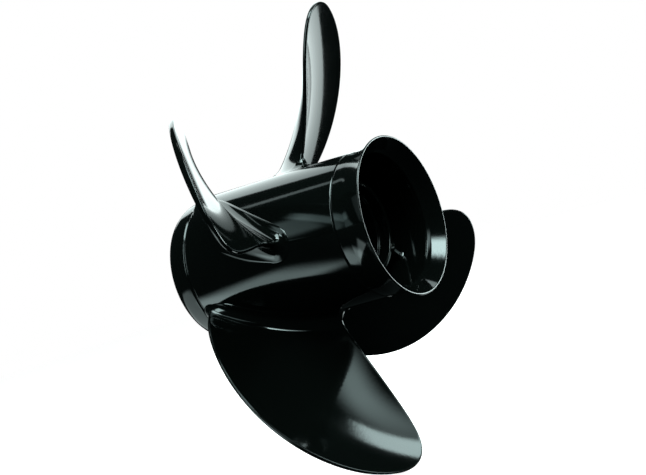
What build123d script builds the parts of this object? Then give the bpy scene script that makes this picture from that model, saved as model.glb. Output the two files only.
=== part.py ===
"""Right-hand four-blade outboard propeller with a rubber drive hub, in millimetres.

+Y is forward along the shaft, +Z is up, and the origin is on the shaft axis, in the
front face of the thrust washer. Distances marked "aft" run from the blade line, the
plane that the blades are set out from, towards the stern.
"""
import os
from math import atan2, cos, hypot, pi, radians, sin, sqrt, tan

from build123d import *

os.makedirs("parts", exist_ok=True)

# ---- driving dimensions ----------------------------------------------------------
tip_radius = 171.45          # 13.5 inch propeller
blade_count = 4
first_blade_angle = -14.2    # from straight up, towards port
blade_line_y = -73.0         # the blade line, behind the origin

# blades: a helical pressure face, cut to a swept outline
root_radius = 0.30 * tip_radius
pitch_root = 525.0
pitch_tip = 387.0
lead_edge = (-81.8, -99.5, -99.5, -81.2)   # root, 1/3, 2/3 of the span, tip
trail_edge = (12.6, 18.8, 29.5, 32.0)
tip_offset = -6.1
rake_law = (61.2, -51.3, 41.8)             # aft sweep, by span, span squared, span cubed
camber_root = 0.108 / tip_radius
camber_tip = -0.068 / tip_radius
lead_fullness = 7.6                        # how square the tip's corners are
trail_fullness = 12.7
blade_edge_thickness = 3.0
blade_root_thickness = 10.5
blade_tip_thickness = 5.0
innermost_span = -0.1                      # the laws stay level inside this span
innermost_radius = 0.8 * root_radius       # the helix angle stays level inside this radius

# barrel, the outer tube that carries the blades, and the flared ring behind it
front_aft = -88.0
front_lip_radius = 51.8
front_shoulder_aft = -83.5   # where the rounded front edge ends
front_shoulder_radius = 54.2
band_end_aft = -69.8         # the front band's end, at the groove
band_end_radius = 56.0
groove_aft = -68.8
groove_radius = 55.6
barrel_front_aft = -67.9
barrel_front_radius = 56.5
step_aft = 60.5              # where the ring's outside meets the barrel's
barrel_step_radius = 52.3
joint_groove = 0.7           # chamfer on both sides of that joint
bore_front_radius = 49.6
bore_step_radius = 47.5
spigot_radius = 49.9
spigot_length = 13.0
rim_aft = 85.8
rim_radius = 56.9
rim_thickness = 1.6
rim_bevel = 0.7
flare_start = 7.5            # behind the joint, where the ring begins to open
flare_slope = 0.38           # outwards for each millimetre aft, at the rim
flare_depth = 10.3
flare_throat_radius = 49.3
throat_land = 0.4

# inner hub and the ribs that join it to the barrel
hub_face_aft = 52.8
hub_front_aft = -61.0
hub_face_radius = 34.5
hub_front_radius = 36.5
hub_mouth_radius = 31.0
hub_mouth_depth = 9.0
hub_bore_radius = 29.0
rib_angles = (-6.0, 114.0, 234.0)
rib_thickness = 5.0
rib_face_aft = 52.0
rib_front_aft = -52.0
rib_reach = 2.0              # a rib is cut to length from a plate this much longer

# drive hub, clamped on the propeller shaft
slip_clearance = 0.05
sleeve_radius = 20.0
sleeve_aft = 22.0
sleeve_front_aft = -63.0
bushing_aft = 20.0
bushing_front_aft = -58.0
spline_teeth = 15
spline_root_radius = 13.9
spline_tip_radius = 12.6
spline_length = 55.0
sleeve_land_radius = 14.3
bushing_chamfer = 1.0
washer_radius = 26.0
washer_boss_radius = 22.0
washer_rim_thickness = 5.0
washer_boss_chamfer = 1.0
edge_break = 0.8             # small chamfer on turned pieces
shaft_shoulder_radius = 16.0
spacer_thickness = 6.0
spacer_radius = 24.0
tab_washer_thickness = 1.5
tab_washer_radius = 22.0
tab_count = 3
first_tab_angle = 30.0
tab_width = 9.0
tab_height = 6.0
tab_clearance = 0.3
folded_tab_play = 1.0        # a folded tab is this much narrower, and its notch this much wider
rear_tab_length = 3.0
notch_length = 4.0
nut_across_flats = 30.0
nut_hex_height = 9.0
nut_height = 13.2
nut_collar_radius = 14.4
nut_thread_radius = 8.7
insert_radius = 12.4
insert_height = 3.2
insert_clearance = 0.3


def aft(distance):
    """The Y coordinate of a place that far aft of the blade line."""
    return blade_line_y - distance


def cubic_through(values, w):
    """The cubic in w that takes four values at 0, 1/3, 2/3 and 1."""
    a, b, c, d = values
    n0 = (1 - w) * (2 - 3 * w) * (1 - 3 * w) / 2
    n1 = 9 * w * (1 - w) * (2 - 3 * w) / 2
    n2 = 9 * w * (1 - w) * (3 * w - 1) / 2
    n3 = w * (2 - 3 * w) * (1 - 3 * w) / 2
    return a * n0 + b * n1 + c * n2 + d * n3


def pitch_at(w):
    """Pitch of the helix at span w."""
    return pitch_root + (pitch_tip - pitch_root) * w


def helix_sine(radius, w):
    """Sine of the angle between the pitch helix and the shaft."""
    turn = 2 * pi * radius
    return turn / hypot(turn, pitch_at(w))


def outline_angle(w, edge, fullness):
    """Angle round the shaft, in radians, of a blade edge at span w."""
    radius = root_radius + (tip_radius - root_radius) * w
    open_tip = sqrt(max(0.0, 1 - max(w, 0.0) ** fullness))
    along = tip_offset * (1 - open_tip) + open_tip * cubic_through(edge, w)
    return radius, along * helix_sine(radius, w) / radius


def blade_face(across, height, suction):
    """Distance aft of the blade's face at a point seen along the shaft.

    The pressure face is a helical surface with rake and camber. The suction face
    lies ahead of it by the thickness, which swells between the blunt edges.
    """
    radius = hypot(across, height)
    w = (radius - root_radius) / (tip_radius - root_radius)
    clamped = max(w, innermost_span)
    slope = helix_sine(max(radius, innermost_radius), clamped)
    along = atan2(across, height) * radius / slope
    camber = camber_root + (camber_tip - camber_root) * clamped
    rake = rake_law[0] * clamped + rake_law[1] * clamped**2 + rake_law[2] * clamped**3
    place = rake + along * sqrt(1 - slope**2) + camber * along**2
    if not suction:
        return place
    lead = cubic_through(lead_edge, clamped)
    trail = cubic_through(trail_edge, clamped)
    chord_place = (2 * along - lead - trail) / (trail - lead)
    swell = max(0.0, 1 - chord_place**2)
    middle = blade_root_thickness + (blade_tip_thickness - blade_root_thickness) * clamped
    thickness = blade_edge_thickness + (middle - blade_edge_thickness) * swell
    return place - thickness / slope


# ---- barrel: the outer tube, open from end to end for the exhaust ----------------
bore_end_aft = step_aft + spigot_length

with BuildPart() as barrel_blank:
    with BuildSketch(Plane.XY):
        with BuildLine():
            Polyline(
                (0, aft(front_aft)),
                (front_lip_radius, aft(front_aft)),
                (front_shoulder_radius, aft(front_shoulder_aft)),
                (band_end_radius, aft(band_end_aft)),
                (groove_radius, aft(groove_aft)),
                (barrel_front_radius, aft(barrel_front_aft)),
                (barrel_step_radius, aft(step_aft - joint_groove)),
                (barrel_step_radius - joint_groove, aft(step_aft)),
                (spigot_radius, aft(step_aft)),
                (spigot_radius, aft(bore_end_aft)),
                (0, aft(bore_end_aft)),
                close=True,
            )
        make_face()
    revolve(axis=Axis.Y)

# the passage narrows aft, for draft, as far as the joint
with BuildPart() as passage:
    with BuildSketch(Plane.XY):
        with BuildLine():
            Polyline(
                (0, aft(front_aft)),
                (bore_front_radius, aft(front_aft)),
                (bore_step_radius, aft(step_aft)),
                (bore_step_radius, aft(bore_end_aft)),
                (0, aft(bore_end_aft)),
                close=True,
            )
        make_face()
    revolve(axis=Axis.Y)

with BuildPart() as barrel:
    add(barrel_blank.part)
    add(passage.part, mode=Mode.SUBTRACT)

barrel.part.label = "barrel"


# ---- blades: one is made pointing straight up and turned to its four places ------
section_heights = [f * tip_radius for f in (0.12, 0.22, 0.34, 0.47, 0.6, 0.73, 0.86, 1.02)]
across_places = [f * tip_radius for f in (-0.52, -0.42, -0.32, -0.22, -0.12, -0.02, 0.08, 0.18, 0.26)]
span_places = [0.0, 0.2, 0.4, 0.6, 0.75, 0.86, 0.94, 0.985]
foot_height = 0.14 * tip_radius
outline_reach = 260.0

with BuildPart() as blade:
    for height in section_heights:
        with BuildSketch(Plane.XY.offset(height)):
            with BuildLine():
                pressure = [(-p, aft(blade_face(p, height, False))) for p in across_places]
                suction = [(-p, aft(blade_face(p, height, True))) for p in across_places]
                Spline(pressure)
                Line(pressure[-1], suction[-1])
                Spline(suction)
                Line(suction[0], pressure[0])
            make_face()
    loft()
    lead_points = []
    trail_points = []
    for w in span_places:
        radius, angle = outline_angle(w, lead_edge, lead_fullness)
        lead_points.append((-radius * sin(angle), radius * cos(angle)))
        radius, angle = outline_angle(w, trail_edge, trail_fullness)
        trail_points.append((-radius * sin(angle), radius * cos(angle)))
    tip_angle = tip_offset * helix_sine(tip_radius, 1.0) / tip_radius
    tip_point = (-tip_radius * sin(tip_angle), tip_radius * cos(tip_angle))
    with BuildSketch(Plane.XZ):
        with BuildLine():
            Spline(lead_points + [tip_point] + trail_points[::-1])
            lead_foot = (lead_points[0][0], foot_height)
            trail_foot = (trail_points[0][0], foot_height)
            Polyline(trail_points[0], trail_foot, lead_foot, lead_points[0])
        make_face()
    extrude(amount=outline_reach, both=True, mode=Mode.INTERSECT)

    # the foot is cut to the barrel's outside, which every blade meets alike
    add(barrel_blank.part, mode=Mode.SUBTRACT)

blades = []
for count in range(blade_count):
    turn = first_blade_angle + count * 360 / blade_count
    with BuildPart() as turned_blade:
        add(blade.part, rotation=(0, -turn, 0))
    turned_blade.part.label = f"blade_{count + 1}"
    blades.append(turned_blade)


# ---- inner hub: the tube that the rubber bushing is pressed into -----------------
with BuildPart() as hub_blank:
    with BuildSketch(Plane.XY):
        with BuildLine():
            Polyline(
                (0, aft(hub_front_aft)),
                (hub_front_radius, aft(hub_front_aft)),
                (hub_face_radius, aft(hub_face_aft)),
                (0, aft(hub_face_aft)),
                close=True,
            )
        make_face()
    revolve(axis=Axis.Y)

with BuildPart() as inner_hub:
    add(hub_blank.part)
    with BuildSketch(Plane.XZ.offset(-aft(hub_face_aft))):
        Circle(hub_bore_radius)
    extrude(amount=-(hub_face_aft - hub_front_aft), mode=Mode.SUBTRACT)
    with BuildSketch(Plane.XZ.offset(-aft(hub_face_aft))):
        Circle(hub_mouth_radius)
    extrude(amount=-hub_mouth_depth, mode=Mode.SUBTRACT)

inner_hub.part.label = "inner_hub"


# ---- ribs: three plates from the inner hub to the barrel's bore ------------------
rib_inner = hub_face_radius - rib_reach
rib_outer = bore_front_radius + rib_reach
rib_length = rib_face_aft - rib_front_aft
ribs = []
for count, angle in enumerate(rib_angles):
    out = Vector(-sin(radians(angle)), 0, cos(radians(angle)))
    middle = out * (rib_inner + rib_outer) / 2 + Vector(0, aft(rib_face_aft) + rib_length / 2, 0)
    with BuildPart() as rib:
        with Locations(Plane(origin=middle, x_dir=out, z_dir=(0, 1, 0))):
            Box(rib_outer - rib_inner, rib_thickness, rib_length)
        add(passage.part, mode=Mode.INTERSECT)
        add(hub_blank.part, mode=Mode.SUBTRACT)
    rib.part.label = f"rib_{count + 1}"
    ribs.append(rib)


# ---- diffuser ring: pressed on the barrel's spigot -------------------------------
with BuildPart() as diffuser_ring:
    with BuildSketch(Plane.XY):
        with BuildLine():
            rim_outside = (rim_radius, aft(rim_aft - rim_bevel))
            joint_edge = (barrel_step_radius, aft(step_aft + joint_groove))
            shoulder = (barrel_step_radius, aft(step_aft + flare_start))
            throat = (flare_throat_radius, aft(rim_aft - flare_depth))
            Polyline(
                (spigot_radius, aft(step_aft)),
                (barrel_step_radius - joint_groove, aft(step_aft)),
                joint_edge,
                shoulder,
            )
            Spline(shoulder, rim_outside, tangents=((0, -1), (flare_slope, -1)))
            Polyline(
                rim_outside,
                (rim_radius - rim_bevel, aft(rim_aft)),
                (rim_radius - rim_thickness, aft(rim_aft)),
                throat,
                (bore_step_radius, aft(bore_end_aft + throat_land)),
                (bore_step_radius, aft(bore_end_aft)),
                (spigot_radius, aft(bore_end_aft)),
                (spigot_radius, aft(step_aft)),
            )
        make_face()
    revolve(axis=Axis.Y)

diffuser_ring.part.label = "diffuser_ring"


# ---- drive bushing: rubber, moulded round the sleeve and pressed in the hub ------
with BuildPart() as rubber_bushing:
    with BuildSketch(Plane.XZ.offset(-aft(bushing_aft))):
        Circle(hub_bore_radius - slip_clearance)
        Circle(sleeve_radius, mode=Mode.SUBTRACT)
    extrude(amount=-(bushing_aft - bushing_front_aft))
    chamfer(rubber_bushing.edges().filter_by(GeomType.CIRCLE), length=bushing_chamfer)

rubber_bushing.part.label = "rubber_bushing"


# ---- splined sleeve: brass, slides on the propeller shaft ------------------------
def spline_profile():
    """The splined hole: a circle at the tooth tips with a slot for each tooth space."""
    slot_depth = spline_root_radius - spline_tip_radius
    slot_width = pi * spline_root_radius / spline_teeth
    Circle(spline_tip_radius)
    slot_start = spline_tip_radius - slot_depth
    with PolarLocations((slot_start + spline_root_radius) / 2, spline_teeth):
        Rectangle(spline_root_radius - slot_start, slot_width)


sleeve_length = sleeve_aft - sleeve_front_aft
with BuildPart() as splined_sleeve:
    with BuildSketch(Plane.XZ.offset(-aft(sleeve_aft))):
        Circle(sleeve_radius)
    extrude(amount=-sleeve_length)
    with BuildSketch(Plane.XZ.offset(-aft(sleeve_aft))):
        spline_profile()
    extrude(amount=-spline_length, mode=Mode.SUBTRACT)
    with BuildSketch(Plane.XZ.offset(-aft(sleeve_front_aft))):
        Circle(sleeve_land_radius)
    extrude(amount=sleeve_length - spline_length, mode=Mode.SUBTRACT)

splined_sleeve.part.label = "splined_sleeve"


# ---- thrust washer: bronze, passes the blades' push to the shaft's shoulder -------
with BuildPart() as thrust_washer:
    with BuildSketch(Plane.XY):
        with BuildLine():
            washer_step = sleeve_front_aft - washer_rim_thickness
            Polyline(
                (shaft_shoulder_radius, 0),
                (washer_boss_radius - washer_boss_chamfer, 0),
                (washer_boss_radius, -washer_boss_chamfer),
                (washer_boss_radius, aft(washer_step)),
                (washer_radius - edge_break, aft(washer_step)),
                (washer_radius, aft(washer_step + edge_break)),
                (washer_radius, aft(sleeve_front_aft)),
                (shaft_shoulder_radius, aft(sleeve_front_aft)),
                close=True,
            )
        make_face()
    revolve(axis=Axis.Y)

thrust_washer.part.label = "thrust_washer"


# ---- rear spacer: steel, splined, carries the nut's clamp load to the sleeve ------
spacer_aft = sleeve_aft + spacer_thickness
with BuildPart() as rear_spacer:
    with BuildSketch(Plane.XZ.offset(-aft(spacer_aft))):
        Circle(spacer_radius)
    extrude(amount=-spacer_thickness)
    chamfer(rear_spacer.edges().filter_by(GeomType.CIRCLE), length=edge_break)
    with BuildSketch(Plane.XZ.offset(-aft(spacer_aft))):
        spline_profile()
    extrude(amount=-spacer_thickness, mode=Mode.SUBTRACT)
    # two notches in the rim that the tab washer's rear tabs fold into
    notch_depth = spacer_radius - tab_washer_radius + tab_washer_thickness + tab_clearance
    with Locations((0, aft(spacer_aft), spacer_radius), (0, aft(spacer_aft), -spacer_radius)):
        Box(tab_width + folded_tab_play, 2 * notch_length, 2 * notch_depth, mode=Mode.SUBTRACT)

rear_spacer.part.label = "rear_spacer"


# ---- tab washer: stainless sheet, its tabs folded so that the nut can't turn ------
tab_washer_aft = spacer_aft + tab_washer_thickness
flat_radius = nut_across_flats / 2
with BuildPart() as tab_washer:
    with BuildSketch(Plane.XZ.offset(-aft(tab_washer_aft))):
        Circle(tab_washer_radius)
        Circle(spline_root_radius + tab_clearance, mode=Mode.SUBTRACT)
    extrude(amount=-tab_washer_thickness)
    # three tabs folded aft against every second flat of the nut
    for count in range(tab_count):
        turn = radians(first_tab_angle + 360 * count / tab_count)
        out = Vector(cos(turn), 0, sin(turn))
        tab_middle = out * (flat_radius + tab_clearance + tab_washer_thickness / 2)
        tab_middle += Vector(0, aft(spacer_aft + (tab_height + tab_washer_thickness) / 2), 0)
        with Locations(Plane(origin=tab_middle, x_dir=out, z_dir=(0, 1, 0))):
            Box(tab_washer_thickness, tab_width, tab_height + tab_washer_thickness)
    # two tabs folded forward into the spacer's notches
    for side in (1, -1):
        tab_z = side * (tab_washer_radius - tab_washer_thickness / 2)
        tab_y = aft(spacer_aft) + (rear_tab_length - tab_washer_thickness) / 2
        with Locations((0, tab_y, tab_z)):
            Box(tab_width - folded_tab_play, rear_tab_length + tab_washer_thickness, tab_washer_thickness)

tab_washer.part.label = "tab_washer"


# ---- propeller nut: steel hexagon with a round collar that holds the insert -------
nut_front = aft(tab_washer_aft)
with BuildPart() as propeller_nut:
    with BuildSketch(Plane.XZ.offset(-nut_front)):
        RegularPolygon(flat_radius, 6, major_radius=False)
    extrude(amount=nut_hex_height)
    with BuildSketch(Plane.XZ.offset(-nut_front)):
        Circle(nut_collar_radius)
    extrude(amount=nut_height)
    # the corners of both hexagon faces are turned off at 30 degrees
    turned_radius = flat_radius / cos(pi / 6) + edge_break
    turned_drop = (turned_radius - flat_radius) * tan(pi / 6)
    with BuildSketch(Plane.XY, mode=Mode.PRIVATE) as turned:
        with BuildLine():
            Polyline(
                (0, nut_front),
                (flat_radius, nut_front),
                (turned_radius, nut_front - turned_drop),
                (turned_radius, nut_front - nut_hex_height + turned_drop),
                (flat_radius, nut_front - nut_hex_height),
                (nut_collar_radius, nut_front - nut_hex_height),
                (nut_collar_radius, nut_front - nut_height + edge_break),
                (nut_collar_radius - edge_break, nut_front - nut_height),
                (0, nut_front - nut_height),
                close=True,
            )
        make_face()
    revolve(turned.sketch, axis=Axis.Y, mode=Mode.INTERSECT)
    with BuildSketch(Plane.XZ.offset(-nut_front)):
        Circle(nut_thread_radius)
    extrude(amount=nut_height, mode=Mode.SUBTRACT)
    with BuildSketch(Plane.XZ.offset(-nut_front + nut_height - insert_height - edge_break)):
        Circle(insert_radius)
    extrude(amount=insert_height, mode=Mode.SUBTRACT)

propeller_nut.part.label = "propeller_nut"


# ---- locking insert: nylon ring, rolled into the nut's collar --------------------
with BuildPart() as locking_insert:
    with BuildSketch(Plane.XZ.offset(-nut_front + nut_height - insert_height - edge_break)):
        Circle(insert_radius)
        Circle(nut_thread_radius + insert_clearance, mode=Mode.SUBTRACT)
    extrude(amount=insert_height)

locking_insert.part.label = "locking_insert"


# ---- write one STEP file for each piece ------------------------------------------
pieces = [
    barrel,
    *blades,
    inner_hub,
    *ribs,
    diffuser_ring,
    rubber_bushing,
    splined_sleeve,
    thrust_washer,
    rear_spacer,
    tab_washer,
    propeller_nut,
    locking_insert,
]
for piece in pieces:
    export_step(piece.part, f"parts/{piece.part.label}.step")
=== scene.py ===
import math

import bmesh
import bpy
import mathutils
import numpy as np
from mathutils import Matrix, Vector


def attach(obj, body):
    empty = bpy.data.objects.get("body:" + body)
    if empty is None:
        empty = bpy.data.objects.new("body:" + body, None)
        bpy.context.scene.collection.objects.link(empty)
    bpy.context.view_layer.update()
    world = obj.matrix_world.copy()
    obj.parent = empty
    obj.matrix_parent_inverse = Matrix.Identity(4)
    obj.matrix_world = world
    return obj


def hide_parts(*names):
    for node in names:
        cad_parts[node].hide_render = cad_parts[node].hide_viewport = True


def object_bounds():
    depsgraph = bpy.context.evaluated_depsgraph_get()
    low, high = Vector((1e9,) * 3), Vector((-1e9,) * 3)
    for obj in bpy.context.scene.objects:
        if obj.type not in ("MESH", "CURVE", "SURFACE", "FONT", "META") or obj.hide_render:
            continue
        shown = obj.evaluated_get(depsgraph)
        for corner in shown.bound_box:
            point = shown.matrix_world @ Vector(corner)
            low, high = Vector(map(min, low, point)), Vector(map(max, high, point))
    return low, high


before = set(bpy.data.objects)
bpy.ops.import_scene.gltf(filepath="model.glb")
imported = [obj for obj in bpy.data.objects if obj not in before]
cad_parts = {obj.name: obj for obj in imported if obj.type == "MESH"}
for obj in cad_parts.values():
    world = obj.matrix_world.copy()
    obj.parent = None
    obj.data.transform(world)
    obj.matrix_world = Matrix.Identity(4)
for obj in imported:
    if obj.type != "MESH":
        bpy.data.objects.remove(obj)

cad_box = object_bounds()

# ---- barrel ----------------------------------------------------------------------
# The outer tube of the propeller casting, sand-cast in aluminium with a slight taper.
# The gearcase's end turns inside its rounded front edge. A shallow groove sets off the
# front band, and the flared ring sits against a step at the rear.
MM = 0.001                    # sizes are in millimetres, up to the studio
BLADE_LINE_Y = -73.0          # the plane that the blades are set out from
FRONT = -88.0                 # this and the next are distances aft of that plane
STEP = 60.5
SPIGOT_END = STEP + 13.0
CONE_FRONT = (-67.9, 56.5)    # distance aft and radius
CONE_REAR = (STEP - 0.7, 52.3)
JOINT_RADIUS = 51.6           # bottom of the chamfer at the joint with the ring
SPIGOT_RADIUS = 49.9
BORE_FRONT_RADIUS = 49.6
BORE_STEP_RADIUS = 47.5
BARREL_CORNERS = (            # distance aft, radius and rounding
    (FRONT, 51.8, 1.8),       # outside: front edge, nose, groove, cone and chamfer
    (-83.5, 54.2, 4.0),
    (-70.6, 56.0, 0.5),
    (-69.3, 55.0, 0.4),
    (*CONE_FRONT, 0.9),
    (*CONE_REAR, 0.5),
    (STEP, JOINT_RADIUS, 0.1),
    (STEP, SPIGOT_RADIUS, 0.1),               # spigot that the ring is pushed on
    (SPIGOT_END, SPIGOT_RADIUS, 0.3),
    (SPIGOT_END, BORE_STEP_RADIUS, 0.3),
    (STEP, BORE_STEP_RADIUS, 0.5),            # bore, back to the front edge
    (FRONT + 1.0, BORE_FRONT_RADIUS, 1.0),
    (FRONT, BORE_FRONT_RADIUS + 0.8, 0.5),
)


def softened(corners, steps=5):
    """A closed profile with each corner cut by a curve.

    corners holds distance aft, radius and rounding. The curve leaves each corner's two
    sides at the rounding's distance, or halfway along a short side, and is the quadratic
    that has the corner as its control point.
    """
    corners = np.array(corners, float)
    points = corners[:, :2]
    before = np.roll(points, 1, axis=0) - points
    after = np.roll(points, -1, axis=0) - points
    before_length = np.linalg.norm(before, axis=1)
    after_length = np.linalg.norm(after, axis=1)
    shorter = np.minimum(before_length, after_length)
    reach = np.minimum(corners[:, 2], 0.5 * shorter)[:, None]
    start = points + before / before_length[:, None] * reach
    end = points + after / after_length[:, None] * reach
    t = np.linspace(0, 1, steps)[None, :, None]
    curve = (1 - t) ** 2 * start[:, None] + 2 * t * (1 - t) * points[:, None] + t**2 * end[:, None]
    return curve.reshape(-1, 2)


def in_frame(aft, radius, angle):
    """Places given by distance aft, radius and angle from straight up towards port."""
    aft, radius, angle = np.broadcast_arrays(aft, radius, angle)
    return np.stack(
        [-radius * np.sin(angle), BLADE_LINE_Y - aft, radius * np.cos(angle)], axis=-1
    )


def grid_faces(rows, columns, first=0, wrap_rows=False, wrap_columns=False, flip=False):
    """The four-cornered faces of a rows by columns grid of vertices, counted from first."""
    i = np.arange(rows if wrap_rows else rows - 1)[:, None]
    j = np.arange(columns if wrap_columns else columns - 1)[None, :]
    i_next = (i + 1) % rows
    j_next = (j + 1) % columns
    quads = [i * columns + j, i * columns + j_next, i_next * columns + j_next, i_next * columns + j]
    faces = np.stack([q + np.zeros_like(i + j) for q in quads], axis=-1).reshape(-1, 4) + first
    return faces[:, ::-1] if flip else faces


def turned(corners, around=256):
    """A closed profile turned about the shaft: vertices and faces."""
    profile = softened(corners)
    angle = np.linspace(0, 2 * math.pi, around, endpoint=False)
    places = in_frame(profile[:, None, 0], profile[:, None, 1], angle[None, :])
    faces = grid_faces(len(profile), around, wrap_rows=True, wrap_columns=True)
    return places.reshape(-1, 3), faces


WELD_GAP = 0.01


def weld(mesh):
    """Merges the doubled vertices where surfaces meet, and turns the faces outwards."""
    work = bmesh.new()
    work.from_mesh(mesh)
    bmesh.ops.remove_doubles(work, verts=work.verts, dist=WELD_GAP * MM)
    bmesh.ops.dissolve_degenerate(work, edges=work.edges, dist=WELD_GAP * MM / 10)
    bmesh.ops.recalc_face_normals(work, faces=work.faces)
    work.to_mesh(mesh)
    work.free()


def make_piece(name, places, faces, material, body):
    """A welded, smooth-shaded mesh object with its place in its mesh, riding on a body."""
    mesh = bpy.data.meshes.new(name)
    mesh.from_pydata((places * MM).tolist(), [], [list(face) for face in faces])
    mesh.validate()
    mesh.shade_smooth()
    mesh.materials.append(material)
    weld(mesh)
    piece = bpy.data.objects.new(name, mesh)
    bpy.context.scene.collection.objects.link(piece)
    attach(piece, body)
    return piece


def srgb(code):
    """Linear red, green, blue and alpha of an sRGB hex colour."""
    values = np.array([int(code[i : i + 2], 16) / 255 for i in (1, 3, 5)])
    linear = np.where(values <= 0.04045, values / 12.92, ((values + 0.055) / 1.055) ** 2.4)
    return (*linear.tolist(), 1.0)


def add_node(owner, kind, settings=None, numbered=None, **named):
    """Adds a shader node to a material, a lamp or the world.

    settings are the node's own choices. named gives its sockets by name and numbered by
    number, each as a value or as the (node, output) pair that it is linked from.
    """
    node = owner.node_tree.nodes.new(kind)
    for key, value in (settings or {}).items():
        setattr(node, key, value)
    sockets = {key.replace("_", " "): value for key, value in named.items()}
    sockets.update(numbered or {})
    for key, value in sockets.items():
        if isinstance(value, tuple) and isinstance(value[0], bpy.types.Node):
            owner.node_tree.links.new(value[0].outputs[value[1]], node.inputs[key])
        else:
            node.inputs[key].default_value = value
    return node


def new_material(name):
    """A material with an empty node tree."""
    material = bpy.data.materials.new(name)
    material.use_nodes = True
    material.node_tree.nodes.clear()
    return material


PEEL_WAVE = 2.0
FILM_PATCHES = 28.0           # per metre: patches about 36 mm wide


def gloss_enamel(name, colour):
    """Gloss black enamel, sprayed and baked on the casting.

    It is a deep black with a mirror-like surface. A faint orange peel softens the edges
    of reflections, and the film is a little less glossy in wide patches.
    """
    material = new_material(name)
    where = add_node(material, "ShaderNodeTexCoord")
    peel = add_node(
        material, "ShaderNodeTexNoise", Vector=(where, "Object"), Scale=1 / (PEEL_WAVE * MM),
        Detail=2.0, Roughness=0.4,
    )
    bump = add_node(
        material, "ShaderNodeBump", Strength=0.05, Distance=0.2 * MM, Height=(peel, 0)
    )
    film = add_node(
        material, "ShaderNodeTexNoise", Vector=(where, "Object"), Scale=FILM_PATCHES, Detail=3.0
    )
    gloss = add_node(
        material, "ShaderNodeMapRange", Value=(film, 0),
        From_Min=0.3, From_Max=0.7, To_Min=0.06, To_Max=0.10,
    )
    shader = add_node(
        material, "ShaderNodeBsdfPrincipled", Base_Color=srgb(colour),
        Roughness=(gloss, "Result"), IOR=1.5, Specular_Tint=srgb("#ecfefe"), Normal=(bump, 0),
    )
    add_node(material, "ShaderNodeOutputMaterial", Surface=(shader, 0))
    return material


enamel = gloss_enamel("gloss_black_enamel_on_cast_aluminium", "#050807")

barrel_places, barrel_faces = turned(BARREL_CORNERS)
barrel = make_piece(
    "barrel_tube", barrel_places, barrel_faces, enamel, "propeller"
)
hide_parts("barrel")


# ---- blades ----------------------------------------------------------------------
# Four swept blades, cast in one with the barrel and fettled to a blunt edge. The
# pressure face, which pushes the water aft, is a helical surface with rake and camber.
BLADE_COUNT = 4
FIRST_BLADE_ANGLE = math.radians(-14.2)   # from straight up, towards port
TIP_RADIUS = 171.45
ROOT_RADIUS = 0.30 * TIP_RADIUS
PITCH_ROOT = 525.0
PITCH_TIP = 387.0
LEAD_EDGE = (-81.8, -99.5, -99.5, -81.2)  # along the helix: root, 1/3, 2/3 of span, tip
TRAIL_EDGE = (12.6, 18.8, 29.5, 32.0)
TIP_OFFSET = -6.1                         # the tip point, along the helix
RAKE = (61.2, -51.3, 41.8)                # aft sweep, by span, span squared, span cubed
CAMBER_ROOT = 0.108 / TIP_RADIUS
CAMBER_TIP = -0.068 / TIP_RADIUS
LOWEST_SPAN = -0.1                        # below it, pitch, rake and camber stay the same
LEAD_FULLNESS = 7.6                       # how squarely the edges close on the tip
TRAIL_FULLNESS = 12.7
EDGE_THICKNESS = 3.0
ROOT_THICKNESS = 10.5
TIP_THICKNESS = 5.0
EDGE_ROUND = 1.45                         # corner radius of the blunt edge
CORNER_COLUMNS = 7                        # columns of the mesh round that corner
COLUMN_CROWDING = 1.35                    # above 1, columns close up towards the edge
LEAST_SLANT = 0.35                        # limits how far a slanted corner is stretched
ROOT_FILLET = 12.0
FILLET_ROWS = 12                          # rows of the mesh up the root fillet
FINE_STEPS = 3000                         # samples of an edge, from which rows are picked
TIP_CROWDING = 0.12                       # how much the rows close up towards the tip
LEAD_FILLET_CUT = 0.6                     # how much narrower the fillet is at the leading end
LEAD_CUT_POWER = 6                        # how closely that keeps to the very end
FOOT_DEPTH = 2.2                          # how far the foot reaches into the barrel's wall
SPINE_DROP = 24.0                         # how far the surface's spine ends below the tip


def cubic_through(values, w):
    """The cubic in w that takes four values at 0, 1/3, 2/3 and 1."""
    a, b, c, d = values
    n0 = (1 - w) * (2 - 3 * w) * (1 - 3 * w) / 2
    n1 = 9 * w * (1 - w) * (2 - 3 * w) / 2
    n2 = 9 * w * (1 - w) * (3 * w - 1) / 2
    n3 = w * (2 - 3 * w) * (1 - 3 * w) / 2
    return a * n0 + b * n1 + c * n2 + d * n3


def span(radius):
    """Where a radius lies between the blade's nominal root, 0, and its tip, 1."""
    return (radius - ROOT_RADIUS) / (TIP_RADIUS - ROOT_RADIUS)


def helix(radius):
    """Sine and cosine of the angle between the pitch helix and the shaft."""
    w = np.maximum(span(radius), LOWEST_SPAN)
    pitch = PITCH_ROOT + (PITCH_TIP - PITCH_ROOT) * w
    turn = 2 * math.pi * radius
    return turn / np.hypot(turn, pitch), pitch / np.hypot(turn, pitch)


def pressure_face(radius, along):
    """Distance aft and angle round the shaft of the blade's pressure face.

    aft = rake(span) + along * cosine + camber(span) * along squared, and the angle is
    along * sine / radius: a point goes along the pitch helix and is raked aft.
    """
    w = np.maximum(span(radius), LOWEST_SPAN)
    sine, cosine = helix(radius)
    rake = RAKE[0] * w + RAKE[1] * w**2 + RAKE[2] * w**3
    camber = CAMBER_ROOT + (CAMBER_TIP - CAMBER_ROOT) * w
    return rake + along * cosine + camber * along**2, along * sine / radius


def barrel_cone(aft):
    """Radius of the straight cone that the blades stand on, without the front groove."""
    front, radius = CONE_FRONT
    rear, rear_radius = CONE_REAR
    return radius + (rear_radius - radius) * (aft - front) / (rear - front)


def radius_at(height, along):
    """Radius of a place that far above the barrel, solved by repeated substitution."""
    radius = height + barrel_cone(along)
    for _ in range(6):
        radius = height + barrel_cone(pressure_face(radius, along)[0])
    return radius


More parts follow.
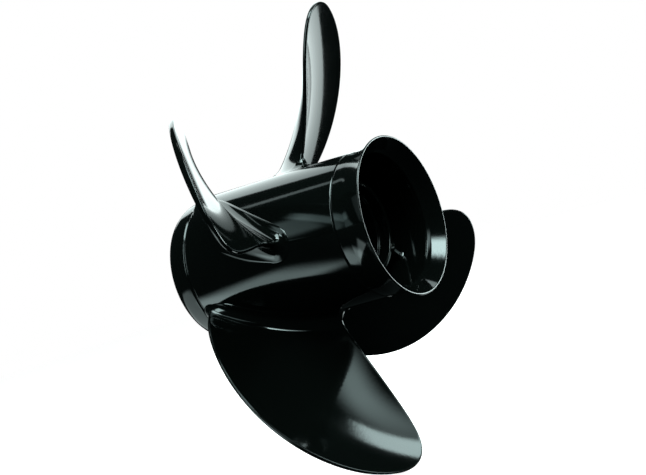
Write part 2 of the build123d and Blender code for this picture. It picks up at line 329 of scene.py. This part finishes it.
def edge_along(edge, fullness, radius):
    """Helix distance of a blade edge: its cubic, closed on the tip point as
    the square root of 1 - span ** fullness."""
    w = span(radius)
    open_tip = np.sqrt(np.clip(1 - np.clip(w, 0, 1) ** fullness, 0, 1))
    return TIP_OFFSET * (1 - open_tip) + open_tip * cubic_through(edge, w)


def edge_line(edge, fullness, rows):
    """Radius and helix distance along an edge, from inside the barrel's wall to the tip.

    The first rows lie at heights fillet * (1 - cosine), which divide the root fillet's
    arc evenly. The others are set out by length, and close up towards the tip.
    """
    fillet_turn = np.linspace(0, math.pi / 2, FILLET_ROWS)
    low = np.concatenate([[-FOOT_DEPTH], ROOT_FILLET * (1 - np.cos(fillet_turn))])
    low_radius = low + barrel_cone(0.0)
    for _ in range(8):
        low_along = edge_along(edge, fullness, low_radius)
        low_radius = low + barrel_cone(pressure_face(low_radius, low_along)[0])
    low_along = edge_along(edge, fullness, low_radius)
    fine_share = 1 - np.linspace(1, 0, FINE_STEPS) ** 3
    fine = low_radius[-1] + (TIP_RADIUS - low_radius[-1]) * fine_share
    fine_along = edge_along(edge, fullness, fine)
    steps = np.hypot(np.diff(fine), np.diff(fine_along))
    length = np.concatenate([[0], np.cumsum(steps)])
    share = np.linspace(0, 1, rows - len(low) + 1)[1:]
    share = share + TIP_CROWDING * np.sin(math.pi * share) * share
    high = np.interp(share * length[-1], length, fine)
    high_along = np.interp(share * length[-1], length, fine_along)
    return np.append(low_radius, high), np.append(low_along, high_along), low


def there_and_back(outbound, homeward):
    """One line of places up the first line and down the second, sharing the end point."""
    return np.append(outbound, homeward[-2::-1])


def blade_grid(rows=96, columns=30):
    """Radius, helix distance, edge depth, height and edge direction of a face.

    Rows go round the outline, from the leading edge's root over the tip to the trailing
    edge's root. Columns go inward from the edge to a spine in the middle of the chord,
    the first ones round the blunt edge's corner. Both edges share the spine's points.
    """
    lead_radius, lead_along, low = edge_line(LEAD_EDGE, LEAD_FULLNESS, rows)
    trail_radius, trail_along, _ = edge_line(TRAIL_EDGE, TRAIL_FULLNESS, rows)
    low_rows = len(low)
    root_radius = radius_at(low, (LEAD_EDGE[0] + TRAIL_EDGE[0]) / 2)
    rise = np.linspace(0, 1, rows - low_rows + 1)[1:]
    spine_end = TIP_RADIUS - SPINE_DROP
    spine_radius = np.append(root_radius, root_radius[-1] + (spine_end - root_radius[-1]) * rise)
    w = span(spine_radius)
    spine_along = (cubic_through(LEAD_EDGE, w) + cubic_through(TRAIL_EDGE, w)) / 2
    upright_end = rise**2 * (3 - 2 * rise)
    spine_along[low_rows:] += (TIP_OFFSET - spine_along[low_rows:]) * upright_end
    outline = np.stack(
        [there_and_back(lead_radius, trail_radius), there_and_back(lead_along, trail_along)],
        axis=-1,
    )
    spine = np.stack(
        [there_and_back(spine_radius, spine_radius), there_and_back(spine_along, spine_along)],
        axis=-1,
    )
    inward = spine - outline
    reach = np.linalg.norm(inward, axis=-1, keepdims=True)
    inward = inward / reach
    tangent = np.gradient(outline, axis=0)
    tangent /= np.linalg.norm(tangent, axis=-1, keepdims=True)
    normal = np.stack([tangent[:, 1], -tangent[:, 0]], axis=-1)
    normal[np.sum(normal * inward, axis=-1) > 0] *= -1
    slant = np.clip(-np.sum(normal * inward, axis=-1, keepdims=True), LEAST_SLANT, 1)
    corner_turn = np.linspace(0, math.pi / 2, CORNER_COLUMNS)
    corner = EDGE_ROUND * (1 - np.cos(corner_turn))[None, :] / slant
    start = corner[:, -1:]
    inner_share = np.linspace(0, 1, columns - CORNER_COLUMNS + 1)[None, 1:] ** COLUMN_CROWDING
    depth = np.concatenate([corner, start + (reach - start) * inner_share], axis=1)
    radius = outline[:, :1] + inward[:, :1] * depth
    along = outline[:, 1:] + inward[:, 1:] * depth
    height = radius - barrel_cone(pressure_face(radius, along)[0])
    height[:low_rows] = low[:, None]
    height[-low_rows:] = low[::-1, None]
    radius[:low_rows] = radius_at(height[:low_rows], along[:low_rows])
    radius[-low_rows:] = radius_at(height[-low_rows:], along[-low_rows:])
    return radius, along, depth * slant, height, normal


def blade_places(grid, side, angle):
    """Places of one face of the blade: side is +1 for pressure, -1 for suction.

    Each point is worked out unrolled, as distance aft and arc length round the shaft.
    It stands off the middle of the thickness by half of it, less at the blunt edge's
    rounded corner, plus fillet - sqrt(fillet**2 - (fillet - height)**2) at the root,
    which is narrower at the leading end of the chord.
    """
    radius, along, depth, height, normal = grid
    w = np.maximum(span(radius), LOWEST_SPAN)
    lead = cubic_through(LEAD_EDGE, w)
    trail = cubic_through(TRAIL_EDGE, w)
    chord_place = np.clip((2 * along - lead - trail) / (trail - lead), -1, 1)
    middle = ROOT_THICKNESS + (TIP_THICKNESS - ROOT_THICKNESS) * w
    half = (EDGE_THICKNESS + (middle - EDGE_THICKNESS) * (1 - chord_place**2)) / 2
    outward_share = np.clip(1 - depth / EDGE_ROUND, 0, 1)
    side_share = np.sqrt(1 - outward_share**2)
    low = np.clip(height, 0, ROOT_FILLET)
    flare = ROOT_FILLET - np.sqrt(ROOT_FILLET**2 - (ROOT_FILLET - low) ** 2)
    flare = flare * (1 - LEAD_FILLET_CUT * np.clip(-chord_place, 0, 1) ** LEAD_CUT_POWER)
    aft, turn = pressure_face(radius, along)
    sine, cosine = helix(radius)
    off_face = -half + side * (half - EDGE_ROUND * (1 - side_share)) + side * flare * side_share
    off_chord = flare * outward_share * np.sign(normal[:, 1:])
    new_aft = aft + off_face * sine + off_chord * cosine
    arc = radius * (turn + angle) - off_face * cosine + off_chord * sine
    new_radius = radius + (barrel_cone(new_aft) - barrel_cone(aft)) * (flare > 0)
    return in_frame(new_aft, new_radius, arc / radius)


def blade(angle):
    """Vertices and faces of one closed blade: its two faces, blunt edge and foot."""
    grid = blade_grid()
    rows, columns = grid[0].shape
    block = rows * columns
    places = np.concatenate(
        [blade_places(grid, side, angle).reshape(-1, 3) for side in (1, -1)]
    )
    down = np.arange(rows - 1) * columns
    edge = np.stack([down, down + columns, down + columns + block, down + block], axis=-1)
    across = np.arange(columns - 1)
    foot = np.stack([across, across + 1, across + 1 + block, across + block], axis=-1)
    faces = np.concatenate(
        [
            grid_faces(rows, columns),
            grid_faces(rows, columns, block, flip=True),
            edge,
            foot,
            foot + (rows - 1) * columns,
        ]
    )
    return places, faces


def gathered(meshes):
    """Vertices and faces of several like meshes as one."""
    size = len(meshes[0][0])
    places = np.concatenate([mesh_places for mesh_places, _ in meshes])
    faces = [
        [corner + i * size for corner in face]
        for i, (_, mesh_faces) in enumerate(meshes)
        for face in mesh_faces
    ]
    return places, faces


blade_angles = FIRST_BLADE_ANGLE + np.arange(BLADE_COUNT) * 2 * math.pi / BLADE_COUNT
blade_mesh_places, blade_mesh_faces = gathered([blade(angle) for angle in blade_angles])
blades = make_piece(
    "blade_castings", blade_mesh_places, blade_mesh_faces, enamel, "propeller"
)
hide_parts(*[f"blade_{i + 1}" for i in range(BLADE_COUNT)])


# ---- inner hub -------------------------------------------------------------------
# The tube in the middle of the casting, with a shallow mouth behind and a bore that
# the rubber bushing is pressed into.
HUB_FRONT = -61.0
HUB_FACE = 52.8
MOUTH_FLOOR = HUB_FACE - 9.0
MOUTH_RADIUS = 31.0
HUB_BORE_RADIUS = 29.0
HUB_CORNERS = (               # distance aft, radius and rounding
    (HUB_FRONT, HUB_BORE_RADIUS, 0.8),
    (HUB_FRONT, 36.5, 1.5),
    (HUB_FACE, 34.5, 1.0),
    (HUB_FACE, MOUTH_RADIUS, 0.7),
    (MOUTH_FLOOR, MOUTH_RADIUS, 0.5),
    (MOUTH_FLOOR, HUB_BORE_RADIUS, 0.4),
)

hub_places, hub_faces = turned(HUB_CORNERS, around=192)
inner_hub = make_piece("hub_tube", hub_places, hub_faces, enamel, "propeller")
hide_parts("inner_hub")


# ---- ribs ------------------------------------------------------------------------
# Three plates join the inner hub to the barrel and leave three exhaust passages. Each
# has rounded ends and spreads into a fillet where it meets a wall.
RIB_ANGLES = np.radians([-6.0, 114.0, 234.0])
RIB_THICKNESS = 5.0
RIB_CORNER = 1.6
RIB_FACE = 52.0
RIB_FRONT = -52.0
RIB_FILLET = 3.0
RIB_INNER = 35.0              # radii between which a rib shows
RIB_OUTER = 47.9
RIB_SINK = 1.5                # how far each end goes on into the wall


def rib(angle, rows=30):
    """A plate whose section is a rounded rectangle, carried from wall to wall.

    Near each wall the section grows by fillet - sqrt(fillet**2 - (fillet - gap)**2).
    """
    centre = (RIB_FACE + RIB_FRONT) / 2
    half = np.array([(RIB_FACE - RIB_FRONT) / 2, RIB_THICKNESS / 2])
    quarter = np.linspace(0, math.pi / 2, 6)
    bend = quarter[None, :] + np.arange(4)[:, None] * math.pi / 2
    outward = np.stack([np.cos(bend), np.sin(bend)], axis=-1)
    signs = np.array([(1, 1), (-1, 1), (-1, -1), (1, -1)])
    section = (signs * (half - RIB_CORNER))[:, None] + RIB_CORNER * outward
    section = section.reshape(-1, 2)
    outward = outward.reshape(-1, 2)
    ease = (1 - np.cos(np.linspace(0, math.pi, rows))) / 2
    radius = RIB_INNER - RIB_SINK + (RIB_OUTER - RIB_INNER + 2 * RIB_SINK) * ease
    gap = np.clip(np.minimum(radius - RIB_INNER, RIB_OUTER - radius), 0, RIB_FILLET)
    flare = RIB_FILLET - np.sqrt(RIB_FILLET**2 - (RIB_FILLET - gap) ** 2)
    loop = section[None] + outward[None] * flare[:, None, None]
    aft = centre + loop[..., 0]
    side = loop[..., 1]
    x = -radius[:, None] * math.sin(angle) - side * math.cos(angle)
    z = radius[:, None] * math.cos(angle) - side * math.sin(angle)
    places = np.stack([x, BLADE_LINE_Y - aft, z], axis=-1)
    count = len(section)
    faces = grid_faces(rows, count, wrap_columns=True).tolist()
    faces.append(list(range(count)))
    faces.append(list(range((rows - 1) * count, rows * count))[::-1])
    return places.reshape(-1, 3), faces


rib_places, rib_faces = gathered([rib(angle) for angle in RIB_ANGLES])
ribs = make_piece("rib_plates", rib_places, rib_faces, enamel, "propeller")
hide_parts(*[f"rib_{i + 1}" for i in range(len(RIB_ANGLES))])


# ---- diffuser ring ---------------------------------------------------------------
# A flared ring of pressed aluminium, pushed on the barrel's spigot. It keeps exhaust
# gas from being drawn forward over the blades.
RIM = 85.8
RING_RADIUS = CONE_REAR[1]
RING_BORE_RADIUS = SPIGOT_RADIUS + 0.02
FLARE_START = STEP + 7.5
FLARE_RISE = 4.5
FLARE_CURVE = 1.9             # above 1, the flare steepens towards the rim
LIP = 0.8                     # radius of the rim's rounded lip
LIP_RADIUS = 56.05
THROAT = 49.3
THROAT_DEPTH = 9.9            # how far inside the rim the throat is

flare_share = np.linspace(0, 1, 16)[1:-1]
flare_outside = np.stack(
    [
        FLARE_START + (RIM - LIP - FLARE_START) * flare_share,
        RING_RADIUS + FLARE_RISE * flare_share**FLARE_CURVE,
        np.full_like(flare_share, 3.0),
    ],
    axis=-1,
)
lip_turn = np.linspace(0.2, math.pi - 0.5, 9)     # from the lip's outside to its inside
rim_lip = np.stack(
    [
        RIM - LIP + LIP * np.sin(lip_turn),
        LIP_RADIUS + LIP * np.cos(lip_turn),
        np.full_like(lip_turn, LIP),
    ],
    axis=-1,
)
ring_corners = np.concatenate(
    [
        [(STEP, RING_BORE_RADIUS, 0.1), (STEP, JOINT_RADIUS, 0.1), (STEP + 0.7, RING_RADIUS, 0.5)],
        flare_outside,
        rim_lip,
        [(RIM - THROAT_DEPTH, THROAT, 2.0), (SPIGOT_END + 0.9, BORE_STEP_RADIUS, 1.5)],
        [(SPIGOT_END, BORE_STEP_RADIUS, 0.1), (SPIGOT_END, RING_BORE_RADIUS, 0.1)],
    ]
)
ring_places, ring_faces = turned(ring_corners)
ring = make_piece(
    "flared_ring", ring_places, ring_faces, enamel, "propeller"
)
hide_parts("diffuser_ring")


# ---- rubber bushing --------------------------------------------------------------
# A thick sleeve of hard black rubber, moulded round the brass sleeve and pressed into
# the inner hub. It turns with the shaft and slips in the hub when a blade strikes.
MOULD_GRAIN = 0.8
BLOOM_PATCHES = 120.0         # per metre: patches about 8 mm wide


def dress(node, material):
    """Gives a carried-over CAD piece its finish."""
    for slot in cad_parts[node].material_slots:
        slot.material = material


def moulded(name, dark, pale):
    """Moulded rubber or nylon: dull black with a fine grain from the mould.

    Patches of bloom make it a little paler and duller.
    """
    material = new_material(name)
    where = add_node(material, "ShaderNodeTexCoord")
    patches = add_node(
        material, "ShaderNodeTexNoise", Vector=(where, "Object"), Scale=BLOOM_PATCHES, Detail=4.0
    )
    colour = add_node(
        material, "ShaderNodeMix", {"data_type": "RGBA"},
        {0: (patches, 0), 6: srgb(dark), 7: srgb(pale)},
    )
    grain = add_node(
        material, "ShaderNodeTexNoise", Vector=(where, "Object"), Scale=1 / (MOULD_GRAIN * MM),
        Detail=2.0,
    )
    bump = add_node(material, "ShaderNodeBump", Strength=0.3, Distance=0.1 * MM, Height=(grain, 0))
    dullness = add_node(
        material, "ShaderNodeMapRange", Value=(patches, 0),
        From_Min=0.3, From_Max=0.7, To_Min=0.5, To_Max=0.68,
    )
    shader = add_node(
        material, "ShaderNodeBsdfPrincipled", Base_Color=(colour, 2),
        Roughness=(dullness, "Result"), IOR=1.52, Normal=(bump, 0),
    )
    add_node(material, "ShaderNodeOutputMaterial", Surface=(shader, 0))
    return material


dress("rubber_bushing", moulded("moulded_black_rubber", "#0a0b0b", "#161818"))


# ---- splined sleeve --------------------------------------------------------------
# Turned from brass bar and broached with fifteen splines. The rubber is bonded to its
# outside, and its front end bears on the thrust washer.
FEED = 0.6
WAVE_TURNS = 20               # the wave texture runs this many radians a unit
STAIN_PATCHES = 90.0          # per metre: patches about 11 mm wide


def turned_metal(name, colour, stain, smooth, dull):
    """Turned metal: fine rings where the tool faced it, fine bands along its cylinders.

    Real feed marks are 0.1 to 0.2 mm apart, too fine to show, so they are drawn at
    0.6 mm. Patches of stain are another colour and duller.
    """
    material = new_material(name)
    where = add_node(material, "ShaderNodeTexCoord")
    scale = 2 * math.pi / (WAVE_TURNS * FEED * MM)
    rings = add_node(
        material, "ShaderNodeTexWave", {"wave_type": "RINGS", "rings_direction": "Y"},
        Vector=(where, "Object"), Scale=scale, Distortion=0.4,
    )
    bands = add_node(
        material, "ShaderNodeTexWave", {"wave_type": "BANDS", "bands_direction": "Y"},
        Vector=(where, "Object"), Scale=scale, Distortion=0.4,
    )
    marks = add_node(
        material, "ShaderNodeMath", {"operation": "ADD"}, {0: (rings, "Fac"), 1: (bands, "Fac")}
    )
    bump = add_node(
        material, "ShaderNodeBump", Strength=0.12, Distance=0.04 * MM, Height=(marks, 0)
    )
    patches = add_node(
        material, "ShaderNodeTexNoise", Vector=(where, "Object"), Scale=STAIN_PATCHES, Detail=5.0
    )
    tone = add_node(
        material, "ShaderNodeMix", {"data_type": "RGBA"},
        {0: (patches, 0), 6: srgb(colour), 7: srgb(stain)},
    )
    dullness = add_node(
        material, "ShaderNodeMapRange", Value=(patches, 0),
        From_Min=0.3, From_Max=0.7, To_Min=smooth, To_Max=dull,
    )
    shader = add_node(
        material, "ShaderNodeBsdfPrincipled", Base_Color=(tone, 2), Metallic=1.0,
        Roughness=(dullness, "Result"), Normal=(bump, 0),
    )
    add_node(material, "ShaderNodeOutputMaterial", Surface=(shader, 0))
    return material


dress("splined_sleeve", turned_metal("turned_yellow_brass", "#d8b466", "#b8924a", 0.22, 0.34))


# ---- thrust washer ---------------------------------------------------------------
# Turned from bronze. It passes the blades' push to the shaft's shoulder, and its redder
# metal is a little stained by water.
dress("thrust_washer", turned_metal("turned_bronze", "#c08a58", "#8f6238", 0.24, 0.40))


# ---- rear spacer, tab washer and propeller nut -----------------------------------
# Steel, blackened in hot oxide. The nut clamps the drive hub through the splined spacer,
# and the sheet washer's tabs are folded against its flats. All three look dark and oily.
black_oxide = turned_metal("black_oxide_on_turned_steel", "#1c1e1f", "#101213", 0.30, 0.46)
dress("rear_spacer", black_oxide)
dress("propeller_nut", black_oxide)
dress("tab_washer", turned_metal("black_oxide_on_rolled_sheet", "#232526", "#141617", 0.36, 0.50))


# ---- locking insert --------------------------------------------------------------
# A ring of black nylon, rolled into the nut's collar, that grips the shaft's thread.
# Moulded nylon is as dull as the rubber and a shade paler.
dress("locking_insert", moulded("moulded_black_nylon", "#121416", "#1b1e20"))


# ---- studio ----------------------------------------------------------------------
# The camera looks from port and behind, level with the shaft and rolled, so that the
# open end rises to the right. Soft boxes hang round the propeller; the floor is pale.
VIEW_ANGLE = math.radians(56.76)          # between the view and the shaft
ROLL = math.radians(16.85)
CAMERA_PLACE = (-0.6405, -0.5084, 0.0010)     # metres, as are all the studio's distances
LENS = 58.88
SENSOR = 36.0

camera_data = bpy.data.cameras.new("camera")
camera_data.lens = LENS
camera_data.sensor_width = SENSOR
camera = bpy.data.objects.new("camera", camera_data)
bpy.context.scene.collection.objects.link(camera)
bpy.context.scene.camera = camera


def placed(across, upward, outward, place):
    """The matrix of something that stands at a place with these three directions."""
    columns = [across, upward, outward, place]
    return mathutils.Matrix([[column[i] for column in columns] for i in range(3)] + [[0, 0, 0, 1]])


back = np.array([-math.sin(VIEW_ANGLE), -math.cos(VIEW_ANGLE), 0])
level = np.array([math.cos(VIEW_ANGLE), -math.sin(VIEW_ANGLE), 0])
upright = np.array([0, 0, 1.0])
right = math.cos(ROLL) * level - math.sin(ROLL) * upright
up = math.sin(ROLL) * level + math.cos(ROLL) * upright
camera.matrix_world = placed(right, up, back, CAMERA_PLACE)

# The surroundings are white to the camera and nearly black in reflections.
world = bpy.data.worlds.new("studio")
bpy.context.scene.world = world
world.use_nodes = True
world.node_tree.nodes.clear()
seen = add_node(world, "ShaderNodeLightPath")
white = add_node(world, "ShaderNodeBackground", Color=(1.0, 1.0, 1.0, 1.0))
dim = add_node(world, "ShaderNodeBackground", Color=(0.010, 0.014, 0.014, 1.0))
choice = add_node(
    world, "ShaderNodeMixShader", None, {0: (seen, "Is Camera Ray"), 1: (dim, 0), 2: (white, 0)}
)
add_node(world, "ShaderNodeOutputWorld", Surface=(choice, 0))
bpy.context.scene.view_settings.view_transform = "Standard"

# A plain pale sheet under the blade tips. It glows as evenly as the white surroundings, so
# that no horizon shows, and stays out of reflections, as a lit sheet far below would.
FLOOR_GAP = 0.0005
FLOOR_HALF = 3.0
FLOOR_GLOW = 0.97
floor_height = cad_box[0][2] - FLOOR_GAP
floor_corners = [
    (x * FLOOR_HALF, y * FLOOR_HALF, floor_height) for x, y in ((-1, -1), (1, -1), (1, 1), (-1, 1))
]
floor_mesh = bpy.data.meshes.new("floor")
floor_mesh.from_pydata(floor_corners, [], [(0, 1, 2, 3)])
floor = bpy.data.objects.new("floor", floor_mesh)
bpy.context.scene.collection.objects.link(floor)
floor.visible_glossy = False
floor.visible_diffuse = False
floor.visible_shadow = False
paper = new_material("matt_white_paper")
paper_shader = add_node(
    paper, "ShaderNodeBsdfPrincipled", Base_Color=srgb("#f4f4f2"), Roughness=0.9,
    Emission_Color=(1.0, 1.0, 1.0, 1.0), Emission_Strength=FLOOR_GLOW,
)
add_node(paper, "ShaderNodeOutputMaterial", Surface=(paper_shader, 0))
floor_mesh.materials.append(paper)


OBJECT_CENTRE = np.array([0, -0.072, 0])
LAMP_COLOUR = (0.88, 1.0, 0.99)           # tubes a touch cooler than the white surroundings


def soften_edges(light, soft):
    """Lets a lamp's glow fall off smoothly over the share soft of its half width."""
    light.use_nodes = True
    light.node_tree.nodes.clear()
    where = add_node(light, "ShaderNodeNewGeometry")
    split = add_node(light, "ShaderNodeSeparateXYZ", Vector=(where, "Parametric"))
    shares = []
    for axis in "XY":
        off = add_node(
            light, "ShaderNodeMath", {"operation": "SUBTRACT"}, {0: (split, axis), 1: 0.5}
        )
        away = add_node(light, "ShaderNodeMath", {"operation": "ABSOLUTE"}, {0: (off, 0)})
        share = add_node(
            light, "ShaderNodeMapRange", {"interpolation_type": "SMOOTHSTEP"},
            Value=(away, 0), From_Min=0.5, From_Max=0.5 - soft / 2, To_Min=0.0, To_Max=1.0,
        )
        shares.append((share, "Result"))
    both = add_node(light, "ShaderNodeMath", {"operation": "MULTIPLY"}, dict(enumerate(shares)))
    glow = add_node(light, "ShaderNodeEmission", Strength=(both, 0))
    add_node(light, "ShaderNodeOutputLight", Surface=(glow, 0))


def soft_box(name, bearing, height, width_angle, height_angle, roll, distance, radiance, soft=0.0):
    """A rectangular soft box that faces the propeller.

    bearing is in degrees to the right of the camera as the propeller sees it, and height
    in degrees above the view's middle. The angles are those that the box spans, and roll
    turns it about its middle. soft is how much of it is dimmer towards its edges, as
    cloth is away from the lamp.
    """
    bearing = math.radians(bearing)
    height = math.radians(height)
    roll = math.radians(roll)
    outward = (
        math.cos(height) * (math.sin(bearing) * right + math.cos(bearing) * back)
        + math.sin(height) * up
    )
    level_across = math.cos(bearing) * right - math.sin(bearing) * back
    level_upward = np.cross(outward, level_across)
    across = math.cos(roll) * level_across + math.sin(roll) * level_upward
    upward = np.cross(outward, across)
    light = bpy.data.lights.new(name, "AREA")
    light.shape = "RECTANGLE"
    light.size = 2 * distance * math.tan(math.radians(width_angle) / 2)
    light.size_y = 2 * distance * math.tan(math.radians(height_angle) / 2)
    light.energy = radiance * math.pi * light.size * light.size_y
    light.color = LAMP_COLOUR
    if soft > 0:
        soften_edges(light, soft)
    holder = bpy.data.objects.new(name, light)
    bpy.context.scene.collection.objects.link(holder)
    holder.matrix_world = placed(across, upward, outward, OBJECT_CENTRE + outward * distance)


# Bearing, height, the width and height that it spans, roll, distance and radiance.
soft_box("backdrop_right", 149, -8, 20, 50, -17, 1.40, 1.9)
soft_box("backdrop_left", -170, 39, 48, 60, 4, 1.47, 2.2, soft=0.1)
soft_box("right_box", 50, 41, 62, 24, -6, 1.06, 3.4, soft=0.9)
soft_box("key_box", -29, 61, 38, 30, 0, 1.06, 11, soft=0.5)
soft_box("key_strip", 6, 60, 12, 40, 0, 1.06, 18, soft=0.5)
soft_box("left_strip", -38, 20, 14, 50, 0, 1.06, 9, soft=0.3)
soft_box("top_strip", -102, 48, 26, 4, 54, 1.30, 1.3)
soft_box("low_left_card", -118, -46, 62, 32, 3, 0.93, 1.2, soft=0.25)
soft_box("right_edge_card", 84, 40, 12, 14, 0, 1.06, 9, soft=0.4)
soft_box("low_front_card", -70, -50, 34, 30, 20, 0.70, 2.6, soft=0.6)
soft_box("rim_card", 114, 15, 24, 24, 0, 1.06, 14, soft=0.3)
